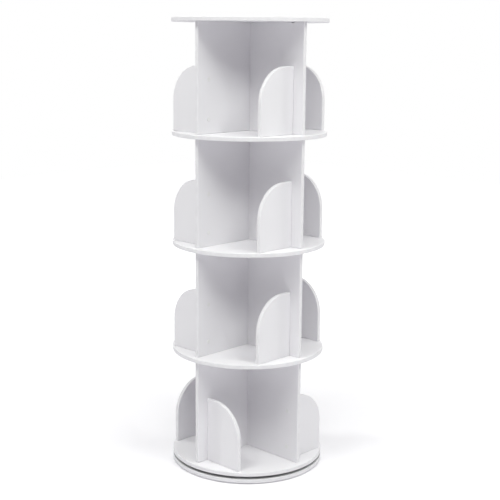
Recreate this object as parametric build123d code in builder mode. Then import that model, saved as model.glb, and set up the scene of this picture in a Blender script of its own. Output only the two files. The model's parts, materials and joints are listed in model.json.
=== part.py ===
from build123d import *
import os

# Revolving bookcase: a tower of round shelves that turns on a fixed round base.
# All sizes are in millimetres. The origin is the centre of the floor contact and
# +Z is the turning axis. The crossed divider panels of each tier lie along X and Y.

# Round boards
board_diameter = 450.0
board_thickness = 12.0
board_edge_round = 1.5

# Tiers, counted from the bottom
tier_count = 4
tier_clear_height = 308.0

# Slotted divider panels, two to a tier, halved over each other at the axis
panel_thickness = 12.0
panel_inset = 15.0
panel_edge_round = 2.0
slot_clearance = 0.15

# Arched book stops, one to a compartment
stop_width = 130.0
stop_height = 188.0
stop_thickness = 12.0
stop_corner_radius = 100.0
stop_edge_round = 2.0
stop_setback = 35.0

# Fixed base board and its pads
base_diameter = 450.0
base_thickness = 12.0
pad_count = 6
pad_diameter = 28.0
pad_thickness = 3.0
pad_inset = 35.0

# Ball bearing between the base board and the rotating bottom board
bearing_height = 8.0
ball_circle_diameter = 280.0
ball_count = 36
ball_diameter = 4.5
ball_clearance = 0.25
ring_width = 12.0
ring_gap = 2.0
ring_relief = 0.6
cage_thickness = 1.2
cage_height = 6.4
ring_screw_count = 6
access_hole_diameter = 12.0

# Countersunk wood screws
screw_head_diameter = 7.6
screw_shank_diameter = 4.0
screw_bite = 28.0
screw_tip_length = 4.0
screw_tip_diameter = 1.0
screw_socket_size = 2.6
screw_socket_depth = 1.8
screw_clearance = 0.1

# Countersunk ring screws
ring_screw_head_diameter = 6.4
ring_screw_shank_diameter = 3.2
ring_screw_bite_share = 0.7
ring_screw_tip_length = 3.0

# Places of the screws in the stops
stop_screw_heights = (40.0, 150.0)
stop_foot_screw_share = 0.5

# Wooden dowels between each board and the panels that stand on it
dowel_diameter = 6.0
dowel_length = 28.0
dowel_place_share = 0.4
dowel_board_share = 0.65
dowel_clearance = 0.1

# Push-on screw caps, proud of the panels and flush with the top board
cap_diameter = 12.0
cap_height = 1.2
cap_edge_round = 0.8
cap_clearance = 0.1

# Relief notch in the top edge of the top tier's panels, beside each shelf screw
notch_radius = 7.0
notch_height = 4.0
notch_depth = 9.0

# How far a cut runs past the face that it opens
cut_overrun = 1.0

# Places worked out from the sizes above
quarter_turns = (0, 90, 180, 270)
tier_pitch = tier_clear_height + board_thickness
bottom_board_base = pad_thickness + base_thickness + bearing_height
panel_length = board_diameter - 2 * panel_inset
stop_line = panel_length / 2 - stop_setback - stop_thickness / 2
dowel_line = dowel_place_share * panel_length / 2
screw_length = board_thickness + screw_bite
ring_height = bearing_height - ring_relief
ring_screw_length = ring_height + ring_screw_bite_share * base_thickness
ball_circle_radius = ball_circle_diameter / 2
outer_ring_radius = ball_circle_radius + (ring_gap + ring_width) / 2
inner_ring_radius = ball_circle_radius - (ring_gap + ring_width) / 2
base_top = pad_thickness + base_thickness
ball_level = base_top + bearing_height / 2


# The height of the underside of a round board; board 1 is the rotating bottom board
def board_base(number):
    return bottom_board_base + (number - 1) * tier_pitch


# The height of the shelf surface that a tier stands on
def tier_floor(number):
    return board_base(number) + board_thickness


# The stops of the bottom tier stand on the other side of their panels
def stop_side(number):
    return 1 if number == 1 else -1


# A point on an arm of the cross: along the arm, sideways from it, and up
def on_arm(turn, along, sideways, height):
    arm = Vector(1, 0, 0).rotate(Axis.Z, turn)
    side = Vector(0, 1, 0).rotate(Axis.Z, turn)
    return arm * along + side * sideways + Vector(0, 0, height)


# A screw place with its head at a point and its tip straight down, or straight up
def pointing_down(point):
    return Location(point)


def pointing_up(point):
    return Location(point, (180, 0, 0))


# Screws that go down through a board into the panels below it; in the top board
# they are sunk, so that their caps lie flush with its face
def panel_screws_from_above(number):
    sinking = cap_height if number == tier_count + 1 else 0
    head = board_base(number) + board_thickness - sinking
    return [pointing_down(on_arm(turn, stop_line, 0, head)) for turn in quarter_turns]


# Screws that go up through the rotating bottom board into the panels on it
def panel_screws_from_below():
    return [pointing_up(on_arm(turn, stop_line, 0, board_base(1))) for turn in quarter_turns]


# Screws that go up through a board into the bottom edges of the stops on it
def stop_foot_screw_places(number):
    reach = stop_side(number) * (panel_thickness / 2 + stop_foot_screw_share * stop_width)
    return [
        pointing_up(on_arm(turn, stop_line, reach, board_base(number)))
        for turn in quarter_turns
    ]


# Screws that go sideways through a panel into the upright edge of its stop
def stop_side_screw_places(number, turns=quarter_turns):
    side = stop_side(number)
    return [
        Location(on_arm(turn, stop_line, -side * panel_thickness / 2, tier_floor(number) + height))
        * Location((0, 0, 0), (0, 0, turn))
        * Location((0, 0, 0), (side * 90, 0, 0))
        for turn in turns
        for height in stop_screw_heights
    ]


# Dowels that stand in a board and in the bottom edges of the panels on it
def dowel_places(number):
    foot = tier_floor(number) - dowel_board_share * board_thickness
    return [Location(on_arm(turn, dowel_line, 0, foot)) for turn in quarter_turns]


# Relief notches at the screws under the top board, on the stop side of each arm
def notch_planes(number):
    side = stop_side(number)
    height = board_base(number + 1) + notch_radius - notch_height
    return [
        Plane(
            origin=on_arm(turn, stop_line, side * panel_thickness / 2, height),
            x_dir=Vector(1, 0, 0).rotate(Axis.Z, turn),
            z_dir=Vector(0, side, 0).rotate(Axis.Z, turn),
        )
        for turn in quarter_turns
    ]


# A countersunk screw with its head at the origin and its tip along -Z
def build_screw(head_diameter, shank_diameter, length, tip_length, tip_diameter):
    head_radius = head_diameter / 2
    shank_radius = shank_diameter / 2
    head_depth = head_radius - shank_radius
    with BuildPart() as screw:
        with BuildSketch(Plane.XZ):
            with BuildLine():
                Polyline(
                    (0, 0),
                    (head_radius, 0),
                    (shank_radius, -head_depth),
                    (shank_radius, tip_length - length),
                    (tip_diameter / 2, -length),
                    (0, -length),
                    close=True,
                )
            make_face()
        revolve(axis=Axis.Z)
        with BuildSketch():
            RegularPolygon(screw_socket_size / 2, 6, major_radius=False)
        extrude(amount=-screw_socket_depth, mode=Mode.SUBTRACT)
    return screw.part


# The space that a screw takes in the boards, with its clearance all round
def build_screw_hole(head_diameter, shank_diameter, length):
    mouth_radius = head_diameter / 2 + screw_clearance
    bore_radius = shank_diameter / 2 + screw_clearance
    end = -length - screw_clearance
    with BuildPart() as hole:
        with BuildSketch(Plane.XZ):
            with BuildLine():
                Polyline(
                    (0, cut_overrun),
                    (mouth_radius, cut_overrun),
                    (mouth_radius, 0),
                    (bore_radius, bore_radius - mouth_radius),
                    (bore_radius, end),
                    (0, end),
                    close=True,
                )
            make_face()
        revolve(axis=Axis.Z)
    return hole.part


# A round bar that stands on the origin, used for dowels and their holes
def build_peg(diameter, length):
    with BuildPart() as peg:
        with BuildSketch():
            Circle(diameter / 2)
        extrude(amount=length)
    return peg.part


# A low round cap that covers a screw head, with its flat back at the origin
def build_cap():
    with BuildPart() as cap:
        with BuildSketch():
            Circle(cap_diameter / 2)
        extrude(amount=cap_height)
        fillet(cap.faces().sort_by(Axis.Z)[-1].edges(), cap_edge_round)
    return cap.part


wood_screw = build_screw(
    screw_head_diameter, screw_shank_diameter, screw_length, screw_tip_length, screw_tip_diameter
)
wood_screw_hole = build_screw_hole(screw_head_diameter, screw_shank_diameter, screw_length)
ring_screw = build_screw(
    ring_screw_head_diameter,
    ring_screw_shank_diameter,
    ring_screw_length,
    ring_screw_tip_length,
    screw_tip_diameter,
)
ring_screw_hole = build_screw_hole(
    ring_screw_head_diameter, ring_screw_shank_diameter, ring_screw_length
)
dowel = build_peg(dowel_diameter, dowel_length)
dowel_hole = build_peg(dowel_diameter + 2 * dowel_clearance, dowel_length + dowel_clearance)
screw_cap = build_cap()
cap_recess = build_peg(cap_diameter + 2 * cap_clearance, cap_height + cut_overrun)

# Ring screws: the outer ring's point down into the base, the inner ring's up. The inner
# ring's start a quarter of their spacing round, so that none comes under an arm's screw
ring_screw_spacing = 360 / ring_screw_count
inner_ring_screw_start = ring_screw_spacing / 4
outer_ring_screw_places = [
    pointing_down(on_arm(ring_screw_spacing * index, outer_ring_radius, 0, base_top + ring_height))
    for index in range(ring_screw_count)
]
inner_ring_screw_places = [
    pointing_up(
        on_arm(
            inner_ring_screw_start + ring_screw_spacing * index,
            inner_ring_radius,
            0,
            base_top + ring_relief,
        )
    )
    for index in range(ring_screw_count)
]

os.makedirs("parts", exist_ok=True)

# Base board, with an access hole under one of the inner ring's screws
access_place = on_arm(inner_ring_screw_start, inner_ring_radius, 0, pad_thickness)
with BuildPart() as base_board:
    with BuildSketch(Plane.XY.offset(pad_thickness)):
        Circle(base_diameter / 2)
    extrude(amount=base_thickness)
    fillet(base_board.edges().filter_by(GeomType.CIRCLE), board_edge_round)
    with Locations(*outer_ring_screw_places):
        add(ring_screw_hole, mode=Mode.SUBTRACT)
    with BuildSketch(Plane.XY.offset(pad_thickness)):
        with Locations((access_place.X, access_place.Y)):
            Circle(access_hole_diameter / 2)
    extrude(amount=base_thickness, mode=Mode.SUBTRACT)
base_board.part.label = "base_board"
export_step(base_board.part, "parts/base_board.step")

# Foot pads
with BuildPart() as foot_pads:
    with BuildSketch():
        with PolarLocations(base_diameter / 2 - pad_inset, pad_count):
            Circle(pad_diameter / 2)
    extrude(amount=pad_thickness)
foot_pads.part.label = "foot_pads"
export_step(foot_pads.part, "parts/foot_pads.step")

# Outer bearing ring, on the base board, with a ball groove in its inner wall
with BuildPart() as bearing_outer_ring:
    with BuildSketch(Plane.XZ):
        with Locations((outer_ring_radius, base_top + ring_height / 2)):
            Rectangle(ring_width, ring_height)
        with Locations((ball_circle_radius, ball_level)):
            Circle(ball_diameter / 2 + ball_clearance, mode=Mode.SUBTRACT)
    revolve(axis=Axis.Z)
    with Locations(*outer_ring_screw_places):
        add(ring_screw_hole, mode=Mode.SUBTRACT)
bearing_outer_ring.part.label = "bearing_outer_ring"
export_step(bearing_outer_ring.part, "parts/bearing_outer_ring.step")

# Inner bearing ring, under the rotating bottom board, with a groove in its outer wall
with BuildPart() as bearing_inner_ring:
    with BuildSketch(Plane.XZ):
        with Locations((inner_ring_radius, base_top + ring_relief + ring_height / 2)):
            Rectangle(ring_width, ring_height)
        with Locations((ball_circle_radius, ball_level)):
            Circle(ball_diameter / 2 + ball_clearance, mode=Mode.SUBTRACT)
    revolve(axis=Axis.Z)
    with Locations(*inner_ring_screw_places):
        add(ring_screw_hole, mode=Mode.SUBTRACT)
bearing_inner_ring.part.label = "bearing_inner_ring"
export_step(bearing_inner_ring.part, "parts/bearing_inner_ring.step")

# Balls and the thin cage that spaces them
with BuildPart() as bearing_balls:
    with Locations((0, 0, ball_level)):
        with PolarLocations(ball_circle_radius, ball_count):
            Sphere(ball_diameter / 2)
bearing_balls.part.label = "bearing_balls"
export_step(bearing_balls.part, "parts/bearing_balls.step")

with BuildPart() as ball_cage:
    with BuildSketch(Plane.XY.offset(ball_level)):
        Circle(ball_circle_radius + cage_thickness / 2)
        Circle(ball_circle_radius - cage_thickness / 2, mode=Mode.SUBTRACT)
    extrude(amount=cage_height / 2, both=True)
    with Locations((0, 0, ball_level)):
        with PolarLocations(ball_circle_radius, ball_count):
            Cylinder(
                ball_diameter / 2 + ball_clearance,
                ball_diameter,
                rotation=(0, 90, 0),
                mode=Mode.SUBTRACT,
            )
ball_cage.part.label = "ball_cage"
export_step(ball_cage.part, "parts/ball_cage.step")

# Ring screws
with BuildPart() as outer_ring_screws:
    with Locations(*outer_ring_screw_places):
        add(ring_screw)
outer_ring_screws.part.label = "outer_ring_screws"
export_step(outer_ring_screws.part, "parts/outer_ring_screws.step")

with BuildPart() as inner_ring_screws:
    with Locations(*inner_ring_screw_places):
        add(ring_screw)
inner_ring_screws.part.label = "inner_ring_screws"
export_step(inner_ring_screws.part, "parts/inner_ring_screws.step")


# The names of the round boards, from the rotating bottom board up
def board_name(number):
    if number == 1:
        return "rotating_bottom_board"
    if number == tier_count + 1:
        return "top_board"
    return f"shelf_board_{number}"


# Every wood screw that passes through or starts in a board
def board_screw_places(number):
    places = []
    if number == 1:
        places += panel_screws_from_below()
    else:
        places += panel_screws_from_above(number)
    if number <= tier_count:
        places += stop_foot_screw_places(number)
    return places


for number in range(1, tier_count + 2):
    with BuildPart() as round_board:
        with BuildSketch(Plane.XY.offset(board_base(number))):
            Circle(board_diameter / 2)
        extrude(amount=board_thickness)
        fillet(round_board.edges().filter_by(GeomType.CIRCLE), board_edge_round)
        with Locations(*board_screw_places(number)):
            add(wood_screw_hole, mode=Mode.SUBTRACT)
        if number <= tier_count:
            with Locations(*dowel_places(number)):
                add(dowel_hole, mode=Mode.SUBTRACT)
        else:
            with Locations(*board_screw_places(number)):
                add(cap_recess, mode=Mode.SUBTRACT)
        if number == 1:
            with Locations(*inner_ring_screw_places):
                add(ring_screw_hole, mode=Mode.SUBTRACT)
    round_board.part.label = board_name(number)
    export_step(round_board.part, f"parts/{board_name(number)}.step")


# A divider panel of one tier, along X (turn 0) with its slot open at the top, or
# along Y (turn 90) with its slot open at the bottom
def build_panel(number, turn):
    floor = tier_floor(number)
    slot_width = panel_thickness + 2 * slot_clearance
    slot_height = tier_clear_height / 2 + slot_clearance
    slot_foot = floor if turn else floor + tier_clear_height - slot_height
    panel_size = (panel_thickness, panel_length) if turn else (panel_length, panel_thickness)
    slot_size = (panel_thickness, slot_width) if turn else (slot_width, panel_thickness)
    arms = (turn, turn + 180)
    with BuildPart() as panel:
        with BuildSketch(Plane.XY.offset(floor)):
            Rectangle(*panel_size)
        extrude(amount=tier_clear_height)
        fillet(panel.edges(), panel_edge_round)
        with BuildSketch(Plane.XY.offset(slot_foot)):
            Rectangle(*slot_size)
        extrude(amount=slot_height, mode=Mode.SUBTRACT)
        with Locations(*panel_screws_from_above(number + 1)):
            add(wood_screw_hole, mode=Mode.SUBTRACT)
        if number == 1:
            with Locations(*panel_screws_from_below()):
                add(wood_screw_hole, mode=Mode.SUBTRACT)
        with Locations(*stop_side_screw_places(number, arms)):
            add(wood_screw_hole, mode=Mode.SUBTRACT)
        with Locations(*dowel_places(number)):
            add(dowel_hole, mode=Mode.SUBTRACT)
        if number == tier_count:
            for notch_plane in notch_planes(number):
                with BuildSketch(notch_plane):
                    Circle(notch_radius)
                extrude(amount=-notch_depth, mode=Mode.SUBTRACT)
    return panel.part


for number in range(1, tier_count + 1):
    for turn, slot_name in ((0, "slot_up"), (90, "slot_down")):
        divider = build_panel(number, turn)
        divider.label = f"tier_{number}_divider_{slot_name}"
        export_step(divider, f"parts/{divider.label}.step")


# An arched book stop: a board with one rounded upper corner, on edge against an arm
def build_stop(number, turn):
    side = stop_side(number)
    stop_plane = Plane(
        origin=on_arm(turn, stop_line, side * panel_thickness / 2, tier_floor(number)),
        x_dir=Vector(0, side, 0).rotate(Axis.Z, turn),
        z_dir=Vector(side, 0, 0).rotate(Axis.Z, turn),
    )
    with BuildPart() as stop:
        with BuildSketch(stop_plane):
            with BuildLine():
                foot = Line((0, 0), (stop_width, 0))
                outer = Line(foot @ 1, (stop_width, stop_height - stop_corner_radius))
                arch = TangentArc(
                    outer @ 1,
                    (stop_width - stop_corner_radius, stop_height),
                    tangent=outer % 1,
                )
                crown = Line(arch @ 1, (0, stop_height))
                Line(crown @ 1, foot @ 0)
            make_face()
        extrude(amount=stop_thickness / 2, both=True)
        fillet(stop.faces().filter_by(stop_plane).edges(), stop_edge_round)
        with Locations(*stop_side_screw_places(number)):
            add(wood_screw_hole, mode=Mode.SUBTRACT)
        with Locations(*stop_foot_screw_places(number)):
            add(wood_screw_hole, mode=Mode.SUBTRACT)
    return stop.part


for number in range(1, tier_count + 1):
    for index, turn in enumerate(quarter_turns, start=1):
        book_stop = build_stop(number, turn)
        book_stop.label = f"tier_{number}_book_stop_{index}"
        export_step(book_stop, f"parts/{book_stop.label}.step")

# Shelf screws: through every board into the edges of the panels
shelf_screw_places = panel_screws_from_below()
for number in range(2, tier_count + 2):
    shelf_screw_places += panel_screws_from_above(number)
with BuildPart() as shelf_screws:
    with Locations(*shelf_screw_places):
        add(wood_screw)
shelf_screws.part.label = "shelf_screws"
export_step(shelf_screws.part, "parts/shelf_screws.step")

# Stop screws: from the side through the panels, and from below through the boards
stop_side_places = []
stop_foot_places = []
all_dowel_places = []
for number in range(1, tier_count + 1):
    stop_side_places += stop_side_screw_places(number)
    stop_foot_places += stop_foot_screw_places(number)
    all_dowel_places += dowel_places(number)

with BuildPart() as stop_side_screws:
    with Locations(*stop_side_places):
        add(wood_screw)
stop_side_screws.part.label = "stop_side_screws"
export_step(stop_side_screws.part, "parts/stop_side_screws.step")

with BuildPart() as stop_foot_screws:
    with Locations(*stop_foot_places):
        add(wood_screw)
stop_foot_screws.part.label = "stop_foot_screws"
export_step(stop_foot_screws.part, "parts/stop_foot_screws.step")

# Dowels
with BuildPart() as dowels:
    with Locations(*all_dowel_places):
        add(dowel)
dowels.part.label = "dowels"
export_step(dowels.part, "parts/dowels.step")

# Caps over the side screws and over the screws in the top board
with BuildPart() as screw_caps:
    with Locations(*stop_side_places, *panel_screws_from_above(tier_count + 1)):
        add(screw_cap)
screw_caps.part.label = "screw_caps"
export_step(screw_caps.part, "parts/screw_caps.step")
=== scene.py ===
import json
import math

import bpy
from mathutils import Matrix, Vector


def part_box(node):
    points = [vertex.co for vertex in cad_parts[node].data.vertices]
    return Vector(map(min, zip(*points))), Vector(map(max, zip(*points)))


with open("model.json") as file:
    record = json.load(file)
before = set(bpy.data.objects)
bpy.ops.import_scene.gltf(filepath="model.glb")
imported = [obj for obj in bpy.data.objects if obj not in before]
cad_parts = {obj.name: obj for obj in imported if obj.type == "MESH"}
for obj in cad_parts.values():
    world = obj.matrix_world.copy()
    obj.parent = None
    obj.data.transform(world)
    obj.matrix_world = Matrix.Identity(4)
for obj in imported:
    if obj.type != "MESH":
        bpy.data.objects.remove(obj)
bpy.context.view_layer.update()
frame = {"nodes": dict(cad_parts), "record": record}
nodes = frame["nodes"]
scene = bpy.context.scene

# Camera: an eye-level view between two arms of the cross, a little below the top board
IMAGE_SIZE = 500.0
FOCAL_PIXELS = 1066.8
CENTRE_ROW = 236.65
SENSOR_WIDTH = 36.0
CAMERA_DISTANCE = 3.1018
CAMERA_HEIGHT = 1.2596
CAMERA_ANGLE = math.radians(-45.762)
LOOK_ANGLE = math.radians(44.164)
PITCH_DOWN = 0.1844
ROLL = 0.0083

camera_data = bpy.data.cameras.new("camera")
camera_data.sensor_width = SENSOR_WIDTH
camera_data.lens = FOCAL_PIXELS / IMAGE_SIZE * SENSOR_WIDTH
camera_data.shift_y = (CENTRE_ROW - IMAGE_SIZE / 2) / IMAGE_SIZE
camera = bpy.data.objects.new("camera", camera_data)
scene.collection.objects.link(camera)
camera_place = Matrix.Translation(
    (
        CAMERA_DISTANCE * math.cos(CAMERA_ANGLE),
        CAMERA_DISTANCE * math.sin(CAMERA_ANGLE),
        CAMERA_HEIGHT,
    )
)
camera_turn = (
    Matrix.Rotation(LOOK_ANGLE, 4, "Z")
    @ Matrix.Rotation(math.pi / 2 - PITCH_DOWN, 4, "X")
    @ Matrix.Rotation(ROLL, 4, "Z")
)
camera.matrix_world = camera_place @ camera_turn
scene.camera = camera
scene.view_settings.view_transform = "Standard"

# Where most of the noise lies between its ends, so that both tones of a ramp show
RAMP_START = 0.3
RAMP_END = 0.7

# The Mix node has its sockets once for each kind of value, and these are the ones for colours
COLOUR_A = 6
COLOUR_B = 7
COLOUR_RESULT = 2


# Node trees are built through this small helper. In a call to add, in_Name or in_0 feeds the input of that
# name or number, and any other word sets the node's own setting
class Tree:
    def __init__(self, owner):
        owner.use_nodes = True
        self.tree = owner.node_tree
        self.tree.nodes.clear()

    def add(self, kind, **values):
        node = self.tree.nodes.new(kind)
        for name, value in values.items():
            if name.startswith("in_"):
                key = name[3:]
                socket = node.inputs[int(key) if key.isdigit() else key.replace("_", " ")]
                self.feed(value, socket)
            else:
                setattr(node, name, value)
        return node

    def feed(self, value, socket):
        if isinstance(value, bpy.types.NodeSocket):
            self.tree.links.new(value, socket)
        else:
            socket.default_value = value

    def math(self, operation, first, second=0.0):
        return self.add("ShaderNodeMath", operation=operation, in_0=first, in_1=second).outputs[0]

    def length(self, vector):
        return self.add("ShaderNodeVectorMath", operation="LENGTH", in_0=vector).outputs["Value"]

    def axes(self, vector):
        return self.add("ShaderNodeSeparateXYZ", in_0=vector).outputs

    def coordinates(self, name):
        return self.add("ShaderNodeTexCoord").outputs[name]

    def noise(self, place, scale, detail=2.0, stretch=(1.0, 1.0, 1.0)):
        mapping = self.add("ShaderNodeMapping", in_Vector=place, in_Scale=stretch)
        settings = {"in_Scale": scale, "in_Detail": detail}
        return self.add("ShaderNodeTexNoise", in_Vector=mapping.outputs[0], **settings).outputs[0]

    def ramp(self, factor, tones, start=RAMP_START, end=RAMP_END):
        node = self.add("ShaderNodeValToRGB", in_0=factor)
        for element, position, colour in zip(node.color_ramp.elements, (start, end), tones):
            element.position = position
            element.color = (*colour, 1.0)
        return node.outputs[0]

    def blend(self, factor, first, second):
        node = self.add("ShaderNodeMix", data_type="RGBA", in_0=factor)
        self.feed(first, node.inputs[COLOUR_A])
        self.feed(second, node.inputs[COLOUR_B])
        return node.outputs[COLOUR_RESULT]

    def spread(self, value, low, high, start=0.0, end=1.0):
        ranges = {"in_1": start, "in_2": end, "in_3": low, "in_4": high}
        return self.add("ShaderNodeMapRange", in_0=value, **ranges).outputs[0]

    def bump(self, height, depth, strength, under=None):
        node = self.add("ShaderNodeBump", in_Height=height, in_Distance=depth, in_Strength=strength)
        if under is not None:
            self.feed(under, node.inputs["Normal"])
        return node.outputs[0]

    # One shader for the camera, for reflections and through glass, and another for all other light
    def by_sight(self, unseen, seen):
        path = self.add("ShaderNodeLightPath").outputs
        direct = self.math("MAXIMUM", path["Is Camera Ray"], path["Is Glossy Ray"])
        direct = self.math("MAXIMUM", direct, path["Is Transmission Ray"])
        return self.add("ShaderNodeMixShader", in_0=direct, in_1=unseen, in_2=seen).outputs[0]


# World: white where it is seen or reflected, a weak cool fill for everything else
WHITE = (1.0, 1.0, 1.0, 1.0)
FILL_COLOUR = (0.96, 0.92, 1.0, 1.0)
FILL_STRENGTH = 0.21

world = bpy.data.worlds.new("world")
scene.world = world
tree = Tree(world)
fill = tree.add("ShaderNodeBackground", in_Color=FILL_COLOUR, in_Strength=FILL_STRENGTH)
backdrop = tree.add("ShaderNodeBackground", in_Color=WHITE, in_Strength=1.0)
tree.add("ShaderNodeOutputWorld", in_Surface=tree.by_sight(fill.outputs[0], backdrop.outputs[0]))

# Lamps: round soft boxes on a dome round the tower. The board's white is cool, so the lamps are a little
# warm, and only the shaded sides stay cool
LAMP_REACH = 5.0
LAMP_AIM = Vector((0.0, 0.0, 0.8))
LAMP_COLOUR = (0.978, 1.0, 0.947)


# The angle aside is counted from the camera's own, and the climb from the level, both in degrees
def soft_box(name, aside, climb, width, watts):
    lamp_data = bpy.data.lights.new(name, "AREA")
    lamp_data.shape = "DISK"
    lamp_data.size = width
    lamp_data.energy = watts
    lamp_data.color = LAMP_COLOUR
    lamp = bpy.data.objects.new(name, lamp_data)
    scene.collection.objects.link(lamp)
    angle = CAMERA_ANGLE + math.radians(aside)
    rise = math.radians(climb)
    level = math.cos(rise)
    away = Vector((math.cos(angle) * level, math.sin(angle) * level, math.sin(rise)))
    turn = away.to_track_quat("Z", "Y").to_matrix().to_4x4()
    lamp.matrix_world = Matrix.Translation(LAMP_AIM + LAMP_REACH * away) @ turn


soft_box("left_key", aside=-40, climb=53, width=2.0, watts=82)
soft_box("right_key", aside=42, climb=45, width=2.0, watts=80)
soft_box("front_high", aside=0, climb=51, width=2.0, watts=58)
soft_box("left_side", aside=-100, climb=40, width=0.9, watts=56)
soft_box("right_side", aside=100, climb=33, width=2.0, watts=55)
soft_box("overhead", aside=80, climb=78, width=0.9, watts=14)
soft_box("back", aside=180, climb=28, width=2.0, watts=38)

# Floor: a pale card, lit like the object. Where it is seen it glows a little, more so further out where the
# lamps are weak, so that it comes out white and still keeps the object's shadow
FLOOR_SIZE = 12.0
FLOOR_COLOUR = (0.885, 0.875, 0.91, 1.0)
LIFT_START = 0.3
LIFT_END = 3.5
LIFT_NEAR = 0.14
LIFT_FAR = 0.75

half = FLOOR_SIZE / 2
floor_corners = [(-half, -half, 0), (half, -half, 0), (half, half, 0), (-half, half, 0)]
floor_mesh = bpy.data.meshes.new("floor")
floor_mesh.from_pydata(floor_corners, [], [(0, 1, 2, 3)])
floor = bpy.data.objects.new("floor", floor_mesh)
scene.collection.objects.link(floor)
floor_material = bpy.data.materials.new("floor")
tree = Tree(floor_material)
card = tree.add("ShaderNodeBsdfDiffuse", in_Color=FLOOR_COLOUR)
distance = tree.length(tree.coordinates("Object"))
lift = tree.spread(distance, LIFT_NEAR, LIFT_FAR, start=LIFT_START, end=LIFT_END)
glow = tree.add("ShaderNodeEmission", in_Color=WHITE, in_Strength=lift)
lifted = tree.add("ShaderNodeAddShader", in_0=card.outputs[0], in_1=glow.outputs[0])
tree.add("ShaderNodeOutputMaterial", in_Surface=tree.by_sight(card.outputs[0], lifted.outputs[0]))
floor_mesh.materials.append(floor_material)

# Tones of the finishes, the darker and the lighter end of each
WHITE_FACE = ((0.824, 0.815, 0.842), (0.848, 0.839, 0.866))
WHITE_EDGE = ((0.806, 0.798, 0.822), (0.846, 0.838, 0.862))
# Painted shade: a darker grey for the faces inside the gap between the two bottom boards
GAP_SHADE_GREY = ((0.54, 0.54, 0.55), (0.62, 0.62, 0.63))
CAP_WHITE = ((0.800, 0.800, 0.805), (0.830, 0.830, 0.832))
FOAM_BLACK = ((0.016, 0.016, 0.017), (0.034, 0.034, 0.035))
RING_ALUMINIUM = ((0.60, 0.61, 0.63), (0.78, 0.79, 0.80))
BALL_GREY = ((0.70, 0.70, 0.71), (0.80, 0.80, 0.82))
NYLON_BLACK = ((0.011, 0.011, 0.012), (0.022, 0.022, 0.023))
ZINC_GREY = ((0.50, 0.51, 0.54), (0.68, 0.69, 0.70))
BEECH_BROWN = ((0.44, 0.28, 0.15), (0.66, 0.48, 0.30))


# Materials: one short function for each finish
def new_material(name):
    material = bpy.data.materials.new(name)
    return material, Tree(material)


def add_surface(tree, **values):
    surface = tree.add("ShaderNodeBsdfPrincipled", **values)
    tree.add("ShaderNodeOutputMaterial", in_Surface=surface.outputs[0])


# Satin white paint on fibreboard: rolled faces, and duller, slightly furrier edges. Between the two given
# heights the white gives way to a darker grey, a painted shade for the dark gap between the boards
PAINT_SPECULAR = 0.35
CLOUD_SHARE = 0.6
SCUFF_SHARE = 0.4
EDGE_DULLING = 0.14


def white_board(name, face_axis, shade_heights=None):
    material, tree = new_material(name)
    place = tree.coordinates("Object")
    facing = tree.axes(tree.coordinates("Normal"))[face_axis]
    edge = tree.math("SUBTRACT", 1.0, tree.math("ABSOLUTE", facing))
    cloud = tree.noise(place, scale=3.0, detail=3.0)
    face_tone = tree.ramp(cloud, WHITE_FACE)
    edge_tone = tree.ramp(tree.noise(place, scale=60.0), WHITE_EDGE)
    tone = tree.blend(edge, face_tone, edge_tone)
    # Painted shade: between the two heights the tone turns a darker grey, standing in for the gap's shade
    if shade_heights:
        height = tree.axes(place)["Z"]
        above = tree.math("GREATER_THAN", height, shade_heights[0])
        below = tree.math("LESS_THAN", height, shade_heights[1])
        gap_shade = tree.ramp(tree.noise(place, scale=40.0), GAP_SHADE_GREY)
        tone = tree.blend(tree.math("MULTIPLY", above, below), tone, gap_shade)
    scuffs = tree.noise(place, scale=35.0, detail=4.0, stretch=(1.0, 1.0, 0.35))
    cloud_part = tree.math("MULTIPLY", cloud, CLOUD_SHARE)
    wear = tree.math("ADD", cloud_part, tree.math("MULTIPLY", scuffs, SCUFF_SHARE))
    sheen = tree.spread(wear, low=0.40, high=0.54)
    dull = tree.math("ADD", sheen, tree.math("MULTIPLY", edge, EDGE_DULLING))
    rolled = tree.bump(tree.noise(place, scale=320.0), depth=0.00006, strength=0.5)
    fibre = tree.noise(place, scale=1400.0)
    fur = tree.spread(edge, low=0.15, high=0.6)
    skin = tree.bump(fibre, depth=0.00005, strength=fur, under=rolled)
    paint = {"in_Base_Color": tone, "in_Roughness": dull, "in_Specular_IOR_Level": PAINT_SPECULAR}
    add_surface(tree, **paint, in_Normal=skin)
    return material


# Matt white moulded caps, a shade away from the paint
def cap_plastic():
    material, tree = new_material("cap_plastic")
    place = tree.coordinates("Object")
    tone = tree.ramp(tree.noise(place, scale=45.0), CAP_WHITE)
    dull = tree.spread(tree.noise(place, scale=500.0), low=0.38, high=0.5)
    spark = tree.bump(tree.noise(place, scale=2200.0), depth=0.00004, strength=0.5)
    add_surface(tree, in_Base_Color=tone, in_Roughness=dull, in_Normal=spark)
    return material


# Closed-cell foam: near-black, with the open dimples of its cut skin
def foam_pad():
    material, tree = new_material("foam_pad")
    place = tree.coordinates("Object")
    cells = tree.add("ShaderNodeTexVoronoi", in_Vector=place, in_Scale=900.0).outputs["Distance"]
    tone = tree.ramp(tree.noise(place, scale=250.0), FOAM_BLACK)
    dull = tree.spread(cells, low=0.82, high=0.97)
    dimples = tree.bump(cells, depth=0.0003, strength=0.8)
    add_surface(tree, in_Base_Color=tone, in_Roughness=dull, in_Normal=dimples)
    return material


# Turned aluminium: fine circular tool lines round the swivel axis, closer together on the upright faces
LINES_PER_METRE = 2400.0
UPRIGHT_CLOSENESS = 3.0


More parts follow.
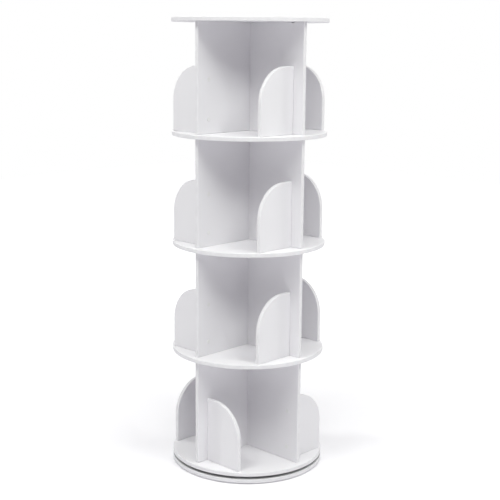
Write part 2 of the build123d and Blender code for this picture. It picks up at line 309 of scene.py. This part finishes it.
def bearing_aluminium():
    material, tree = new_material("bearing_aluminium")
    place = tree.coordinates("Object")
    axes = tree.axes(place)
    flat = tree.add("ShaderNodeCombineXYZ", in_0=axes["X"], in_1=axes["Y"])
    rise = tree.math("MULTIPLY", axes["Z"], UPRIGHT_CLOSENESS)
    travel = tree.math("ADD", tree.length(flat.outputs[0]), rise)
    settings = {"in_Scale": LINES_PER_METRE, "in_Detail": 2.0}
    lines = tree.add("ShaderNodeTexNoise", noise_dimensions="1D", in_W=travel, **settings).outputs[0]
    tone = tree.ramp(lines, RING_ALUMINIUM)
    dull = tree.spread(tree.noise(place, scale=20.0), low=0.24, high=0.36)
    cut = tree.bump(lines, depth=0.00008, strength=0.5)
    add_surface(tree, in_Base_Color=tone, in_Metallic=1.0, in_Roughness=dull, in_Normal=cut)
    return material


# Polished ball steel with a faint haze of grease
def ball_steel():
    material, tree = new_material("ball_steel")
    haze = tree.noise(tree.coordinates("Object"), scale=180.0, detail=3.0)
    tone = tree.ramp(haze, BALL_GREY, start=0.35, end=0.65)
    dull = tree.spread(haze, low=0.06, high=0.18)
    add_surface(tree, in_Base_Color=tone, in_Metallic=1.0, in_Roughness=dull)
    return material


# Black moulded nylon with a fine sparked skin
def cage_plastic():
    material, tree = new_material("cage_plastic")
    place = tree.coordinates("Object")
    tone = tree.ramp(tree.noise(place, scale=120.0), NYLON_BLACK)
    skin = tree.noise(place, scale=1800.0)
    dull = tree.spread(skin, low=0.42, high=0.6)
    spark = tree.bump(skin, depth=0.00005, strength=0.6)
    add_surface(tree, in_Base_Color=tone, in_Roughness=dull, in_Normal=spark)
    return material


# Zinc plate: a grey metal with soft mottling in its tone and its shine
def screw_steel():
    material, tree = new_material("screw_steel")
    mottle = tree.noise(tree.coordinates("Object"), scale=420.0, detail=3.0)
    tone = tree.ramp(mottle, ZINC_GREY)
    dull = tree.spread(mottle, low=0.26, high=0.44)
    plate = tree.bump(mottle, depth=0.00003, strength=0.5)
    add_surface(tree, in_Base_Color=tone, in_Metallic=1.0, in_Roughness=dull, in_Normal=plate)
    return material


# Bare beech: pale brown with short flecks that run along the dowel
def dowel_wood():
    material, tree = new_material("dowel_wood")
    place = tree.coordinates("Object")
    flecks = tree.noise(place, scale=300.0, detail=3.0, stretch=(1.0, 1.0, 0.12))
    tone = tree.ramp(flecks, BEECH_BROWN)
    dull = tree.spread(flecks, low=0.6, high=0.78)
    grain = tree.bump(flecks, depth=0.0001, strength=0.5)
    add_surface(tree, in_Base_Color=tone, in_Roughness=dull, in_Normal=grain)
    return material


plain_finishes = {
    "cap_plastic": cap_plastic(),
    "foam_pad": foam_pad(),
    "bearing_aluminium": bearing_aluminium(),
    "ball_steel": ball_steel(),
    "cage_plastic": cage_plastic(),
    "screw_steel": screw_steel(),
    "dowel_wood": dowel_wood(),
}
board_finishes = {axis: white_board("white_board_" + axis.lower(), axis) for axis in "XYZ"}

# The two boards that face each other across the bearing are white outside, and their faces between them get
# a darker grey as painted shade for the gap
GAP_SHADED_BOARDS = ("base_board", "rotating_bottom_board")
GAP_SHADE_MARGIN = 0.0002
gap_shade_heights = (
    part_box("base_board")[1].z - GAP_SHADE_MARGIN,
    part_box("rotating_bottom_board")[0].z + GAP_SHADE_MARGIN,
)
gap_shaded_board = white_board("white_board_gap_shade", "Z", shade_heights=gap_shade_heights)


def thin_axis(name):
    low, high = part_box(name)
    sizes = [high[i] - low[i] for i in range(3)]
    return "XYZ"[sizes.index(min(sizes))]


def finish_of(name, slot):
    if name in GAP_SHADED_BOARDS:
        return gap_shaded_board
    if slot in plain_finishes:
        return plain_finishes[slot]
    return board_finishes[thin_axis(name)]


for subpart in frame["record"]["subparts"]:
    name = subpart["node"]
    nodes[name].data.materials.clear()
    nodes[name].data.materials.append(finish_of(name, subpart["material_slot"]))
